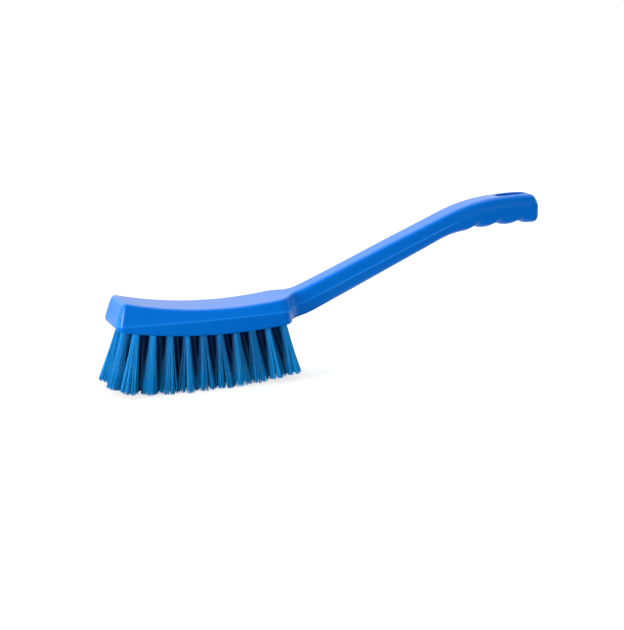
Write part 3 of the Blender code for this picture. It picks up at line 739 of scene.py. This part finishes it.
def plasticSurfaceGroup():
    # Uneven colour, gloss and relief of a drawn or moulded plastic: broad clouds, fine pebble, and rubs drawn out
    # along the brush. The gloss follows equal shares of the clouds and the rubs.
    grain = {
        "inputs": {"Cloud Scale": 18.0, "Pebble Scale": 900.0, "Rub Scale": 60.0,
                   "Roughness Low": 0.24, "Roughness High": 0.36},
        "cloudDetail": 3.0, "pebbleDetail": 2.0, "rubDetail": 4.0, "rubStretch": (1.0, 14.0, 14.0),
        "glossShare": 0.5, "glossFrom": 0.3, "glossTo": 0.7,
    }
    group = bpy.data.node_groups.new("plasticSurface", "ShaderNodeTree")
    for name, default in grain["inputs"].items():
        socket = group.interface.new_socket(name, in_out="INPUT", socket_type="NodeSocketFloat")
        socket.default_value = default
    for name in ("Tone", "Roughness", "Height"):
        group.interface.new_socket(name, in_out="OUTPUT", socket_type="NodeSocketFloat")
    nodes, links = group.nodes, group.links
    given = nodes.new("NodeGroupInput").outputs
    result = nodes.new("NodeGroupOutput").inputs
    place = nodes.new("ShaderNodeTexCoord").outputs["Object"]
    stretch = nodes.new("ShaderNodeMapping")
    stretch.inputs["Scale"].default_value = grain["rubStretch"]
    links.new(place, stretch.inputs["Vector"])
    cloud = addNoise(nodes, links, place, given["Cloud Scale"], grain["cloudDetail"])
    pebble = addNoise(nodes, links, place, given["Pebble Scale"], grain["pebbleDetail"])
    rub = addNoise(nodes, links, stretch.outputs["Vector"], given["Rub Scale"], grain["rubDetail"])
    rubPart = addMath(nodes, links, "MULTIPLY", rub, grain["glossShare"])
    gloss = nodes.new("ShaderNodeMapRange")
    for name, source in (("Value", addMath(nodes, links, "MULTIPLY_ADD", cloud, grain["glossShare"], rubPart)),
                         ("From Min", grain["glossFrom"]), ("From Max", grain["glossTo"]),
                         ("To Min", given["Roughness Low"]), ("To Max", given["Roughness High"])):
        feed(links, gloss.inputs[name], source)
    links.new(cloud, result["Tone"])
    links.new(gloss.outputs["Result"], result["Roughness"])
    links.new(pebble, result["Height"])
    return group


def addSkin(nodes, links, shader, surface, look):
    # The shared surface with this finish's own values gives the shader its gloss and its fine relief
    skin = addNode(nodes, "ShaderNodeGroup", node_tree=surface)
    for name, value in look["skin"].items():
        skin.inputs[name].default_value = value
    relief = nodes.new("ShaderNodeBump")
    relief.inputs["Distance"].default_value = look["relief"]
    relief.inputs["Strength"].default_value = look["reliefStrength"]
    links.new(skin.outputs["Height"], relief.inputs["Height"])
    links.new(relief.outputs["Normal"], shader.inputs["Normal"])
    links.new(skin.outputs["Roughness"], shader.inputs["Roughness"])
    for name, value in look["shader"].items():
        shader.inputs[name].default_value = value
    return skin.outputs["Tone"]


def makeMouldingMaterial(surface):
    # Blue polypropylene: slightly cloudy, with a painted highlight in paler blue along the raised parting seam
    look = {
        "deep": (0.0006, 0.146, 0.610, 1), "bright": (0.0010, 0.162, 0.660, 1), "seam": (0.010, 0.250, 0.84, 1),
        "skin": {"Cloud Scale": 14.0, "Pebble Scale": 1600.0, "Rub Scale": 30.0,
                 "Roughness Low": 0.26, "Roughness High": 0.34},
        "relief": 0.00002, "reliefStrength": 0.35,
        "shader": {"IOR": 1.5, "Coat Weight": 0.2, "Coat Roughness": 0.12},
    }
    material, nodes, links, shader = newMaterial("mouldedPolypropylene")
    cloudy = mixTone(nodes, links, addSkin(nodes, links, shader, surface, look), look["deep"], look["bright"])
    # Painted highlight: a paler blue along the raised parting seam
    withSeamHighlight = mixTone(nodes, links, readShare(nodes, "seamHighlightShare"), cloudy, look["seam"])
    links.new(withSeamHighlight, shader.inputs["Base Color"])
    return material


def makeFilamentMaterial(surface):
    # Drawn filament: each strand has its own tone, paler to its tip, and painted shade darkens it deep in the bristle
    # field
    look = {
        "dark": (0.0008, 0.104, 0.34, 1), "light": (0.0032, 0.315, 0.77, 1),
        "tipDark": (0.0012, 0.130, 0.40, 1), "tipLight": (0.005, 0.355, 0.82, 1), "paintedShade": (0.0004, 0.010, 0.085, 1),
        "skin": {"Cloud Scale": 120.0, "Pebble Scale": 2600.0, "Rub Scale": 200.0,
                 "Roughness Low": 0.30, "Roughness High": 0.44},
        "relief": 0.00002, "reliefStrength": 0.3, "shader": {"Specular IOR Level": 0.3},
    }
    material, nodes, links, shader = newMaterial("drawnFilament")
    addSkin(nodes, links, shader, surface, look)
    strand = readShare(nodes, "strandTone")
    root = mixTone(nodes, links, strand, look["dark"], look["light"])
    tip = mixTone(nodes, links, strand, look["tipDark"], look["tipLight"])
    lengthwise = mixTone(nodes, links, readShare(nodes, "toTip"), root, tip)
    # Painted shade: deep in the bristle field the strands' colour is darkened towards a near-black blue
    shaded = mixTone(nodes, links, readShare(nodes, "openShare"), look["paintedShade"], lengthwise)
    links.new(shaded, shader.inputs["Base Color"])
    return material


def makeStapleMaterial(surface):
    # Plain stainless wire
    look = {
        "dark": (0.42, 0.41, 0.39, 1), "light": (0.56, 0.55, 0.53, 1),
        "skin": {"Roughness Low": 0.25, "Roughness High": 0.45},
        "relief": 0.00002, "reliefStrength": 1.0, "shader": {"Metallic": 1.0},
    }
    material, nodes, links, shader = newMaterial("stapleSteel")
    tone = addSkin(nodes, links, shader, surface, look)
    links.new(mixTone(nodes, links, tone, look["dark"], look["light"]), shader.inputs["Base Color"])
    return material


# Studio: a camera at the photograph's angle, a pale floor, soft lamps and a surround that is white behind the
# brush and dim in front of it, as in a product tent. Places are in metres from the middle of the brush's foot.
studio = {
    "cameraPlace": (-0.2773, -1.1344, 0.2877), "cameraTurn": 22.15, "cameraDip": 13.7, "lens": 80.38,
    "floorSize": 3.4, "floorTone": 0.30, "floorRoughness": 0.9, "floorGlow": 0.72, "glowFrom": 0.4,
    "floorNear": 0.003, "floorFar": 0.50, "farFrom": 0.02, "farTo": 0.18, "rightShare": 0.04,
    "surroundFront": 0.008, "surroundBack": 1.04, "turnFrom": -0.25, "turnTo": 0.75, "riseShare": 0.35,
    "horizonFrom": -0.02, "horizonTo": 0.16, "horizonShare": 0.40,
}
# Only lamps with a gleam show in reflections; the others just light the brush
lamps = {
    "overheadSoftbox": {"place": (-0.15, 0.48, 1.5), "aim": (0, 0, 0.06), "size": (2.0, 0.9),
                        "power": 21.0, "gleam": False},
    "leftSoftbox": {"place": (-1.20, -0.25, 0.23), "aim": (-0.1, 0, 0.08), "size": (0.6, 0.4),
                    "power": 15.0, "gleam": False},
    "frontSoftbox": {"place": (-0.70, -1.20, 0.08), "aim": (0, 0, 0.08), "size": (0.9, 0.14),
                     "power": 5.3, "gleam": False},
    "rightSoftbox": {"place": (0.90, -1.30, 0.09), "aim": (0, 0, 0.08), "size": (0.6, 0.16),
                     "power": 4.0, "gleam": False},
    "rimSoftbox": {"place": (1.20, -0.15, 0.18), "aim": (0, 0, 0.08), "size": (0.4, 0.24),
                   "power": 5.5, "gleam": False},
    "leftStrip": {"place": (-0.76, -1.06, 0.40), "aim": (-0.15, 0, 0.08), "size": (0.10, 0.4),
                  "power": 5.4, "gleam": True},
    "cardUnderGrip": {"place": (0.17, 0.02, 0.01), "aim": (0.17, 0.02, 0.1), "size": (0.26, 0.20),
                      "power": 0.15, "gleam": True},
}


def shownRays(nodes, links):
    # 1 for rays that show the background itself: straight from the camera or through glass
    path = nodes.new("ShaderNodeLightPath")
    return addMath(nodes, links, "MAXIMUM", path.outputs["Is Camera Ray"], path.outputs["Is Transmission Ray"])


def ramp(nodes, links, value, start, end, low, high):
    # A cubic step from low at start to high at end
    step = addNode(nodes, "ShaderNodeMapRange", interpolation_type="SMOOTHSTEP")
    for name, source in (("Value", value), ("From Min", start), ("From Max", end), ("To Min", low), ("To Max", high)):
        feed(links, step.inputs[name], source)
    return step.outputs["Result"]


def splitPlace(nodes, links, place):
    split = nodes.new("ShaderNodeSeparateXYZ")
    links.new(place, split.inputs[0])
    return split.outputs


def makeSurround():
    # Strength by direction: the ray's Y plus a third of its Z runs from dim in front to white behind,
    # and a band at the horizon is dimmer, so that grazing edges stay blue
    world = bpy.data.worlds.new("studioSurround")
    world.use_nodes = True
    nodes, links = world.node_tree.nodes, world.node_tree.links
    background = nodes["Background"]
    background.inputs["Color"].default_value = (1, 1, 1, 1)
    ray = splitPlace(nodes, links, nodes.new("ShaderNodeTexCoord").outputs["Generated"])
    toBack = addMath(nodes, links, "MULTIPLY_ADD", ray["Z"], studio["riseShare"], ray["Y"])
    turned = ramp(nodes, links, toBack, studio["turnFrom"], studio["turnTo"],
                  studio["surroundFront"], studio["surroundBack"])
    rising = ramp(nodes, links, ray["Z"], studio["horizonFrom"], studio["horizonTo"], studio["horizonShare"], 1.0)
    strength = addNode(nodes, "ShaderNodeMix", data_type="FLOAT")
    for number, source in ((0, shownRays(nodes, links)), (2, addMath(nodes, links, "MULTIPLY", turned, rising)),
                           (3, 1.0)):  # the sockets of a mix of numbers
        feed(links, strength.inputs[number], source)
    links.new(strength.outputs[0], background.inputs["Strength"])
    bpy.context.scene.world = world


def makeFloor():
    # The floor glows and is pale for the camera only. The light that it throws back on the brush comes from the
    # part behind the brush, which lights the grazing edges; the part in front of it is dark.
    half = studio["floorSize"] / 2
    corners = np.array([[-half, -half, 0], [half, -half, 0], [half, half, 0], [-half, half, 0]])
    floor = meshFromArrays("paleFloor", corners, np.array([4]), np.arange(4), smooth=False)
    material, nodes, links, shader = newMaterial("paleFloor")
    shader.inputs["Roughness"].default_value = studio["floorRoughness"]
    shader.inputs["Specular IOR Level"].default_value = 0.0
    shader.inputs["Emission Color"].default_value = (1, 1, 1, 1)
    place = nodes.new("ShaderNodeTexCoord").outputs["Object"]
    point = splitPlace(nodes, links, place)
    toFar = addMath(nodes, links, "MULTIPLY_ADD", point["X"], studio["rightShare"], point["Y"])
    thrown = ramp(nodes, links, toFar, studio["farFrom"], studio["farTo"], studio["floorNear"], studio["floorFar"])
    shown = shownRays(nodes, links)
    pale = (studio["floorTone"], studio["floorTone"], studio["floorTone"], 1)
    links.new(mixTone(nodes, links, shown, thrown, pale), shader.inputs["Base Color"])
    away = addNode(nodes, "ShaderNodeVectorMath", operation="LENGTH")
    links.new(place, away.inputs[0])
    outward = ramp(nodes, links, away.outputs["Value"], studio["glowFrom"], half, studio["floorGlow"], 1.0)
    links.new(addMath(nodes, links, "MULTIPLY", shown, outward), shader.inputs["Emission Strength"])
    floor.data.materials.append(material)


def makeLamps():
    for name, lamp in lamps.items():
        light = bpy.data.lights.new(name, "AREA")
        light.shape = "RECTANGLE"
        light.size, light.size_y = lamp["size"]
        light.energy = lamp["power"]
        holder = bpy.data.objects.new(name, light)
        toward = Vector(lamp["aim"]) - Vector(lamp["place"])
        holder.matrix_world = Matrix.Translation(lamp["place"]) @ toward.to_track_quat("-Z", "Y").to_matrix().to_4x4()
        holder.visible_glossy = lamp["gleam"]
        holder.visible_camera = False
        bpy.context.scene.collection.objects.link(holder)


def makeCamera():
    lens = bpy.data.cameras.new("photoCamera")
    lens.lens = studio["lens"]
    camera = bpy.data.objects.new("photoCamera", lens)
    camera.location = Vector(studio["cameraPlace"]) + offset
    turn, dip = math.radians(studio["cameraTurn"]), math.radians(studio["cameraDip"])
    camera.rotation_euler = Euler((math.pi / 2 - dip, 0, -turn))
    bpy.context.scene.collection.objects.link(camera)
    bpy.context.scene.camera = camera


bpy.context.scene.view_settings.view_transform = "Standard"
makeCamera()
makeLamps()
makeSurround()
makeFloor()
print("studio ready")

surface = plasticSurfaceGroup()
mouths, directions = tuftPlaces()
makeMoulding(mouths, directions, makeMouldingMaterial(surface))

filamentMaterial = makeFilamentMaterial(surface)
random = np.random.default_rng(tuft["seed"])
for row in range(tuft["rows"]):
    for place in range(tuft["inRow"]):
        label = f"row{row + 1}_{place + 1:02d}"
        makeTuft(label, mouths[row, place], directions[row, place], random, filamentMaterial)
makeStaples(mouths, directions, makeStapleMaterial(surface))
print("tufts and staples made")
